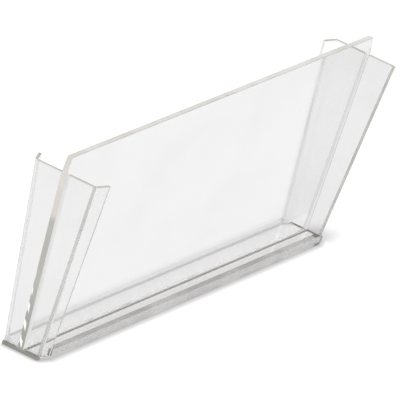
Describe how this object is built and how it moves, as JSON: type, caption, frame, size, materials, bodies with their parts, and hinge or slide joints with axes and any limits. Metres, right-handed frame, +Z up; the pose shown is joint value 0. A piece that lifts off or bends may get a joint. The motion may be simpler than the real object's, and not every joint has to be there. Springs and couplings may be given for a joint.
{
  "type": "magazine rack",
  "caption": "Low, long magazine rack of clear acrylic sheet: an upright divider on a base plate, with flared bent wings at the ends and a lip along the front.",
  "frame": {"origin": "middle of the base plate's underside, on the surface that the rack stands on", "axes": "+X along the rack's length, +Y to the rear (the side without the lip), +Z up"},
  "size_m": [0.635, 0.083, 0.215],
  "materials": {
    "thick_sheet": "clear acrylic, 6 mm, polished",
    "thin_sheet": "clear acrylic, 3 mm, polished",
    "bent_sheet": "clear acrylic, 3 mm, line bent, polished",
    "cement": "clear solvent cement"
  },
  "bodies": {
    "root": {"divider_panel": "thick_sheet", "base_plate": "thin_sheet", "front_lip": "thick_sheet", "front_left_wing": "bent_sheet", "front_right_wing": "bent_sheet", "rear_left_wing": "bent_sheet", "rear_right_wing": "bent_sheet", "front_base_bead": "cement", "rear_base_bead": "cement", "front_left_wing_bead": "cement", "front_right_wing_bead": "cement", "rear_left_wing_bead": "cement", "rear_right_wing_bead": "cement"}
  },
  "joints": []
}
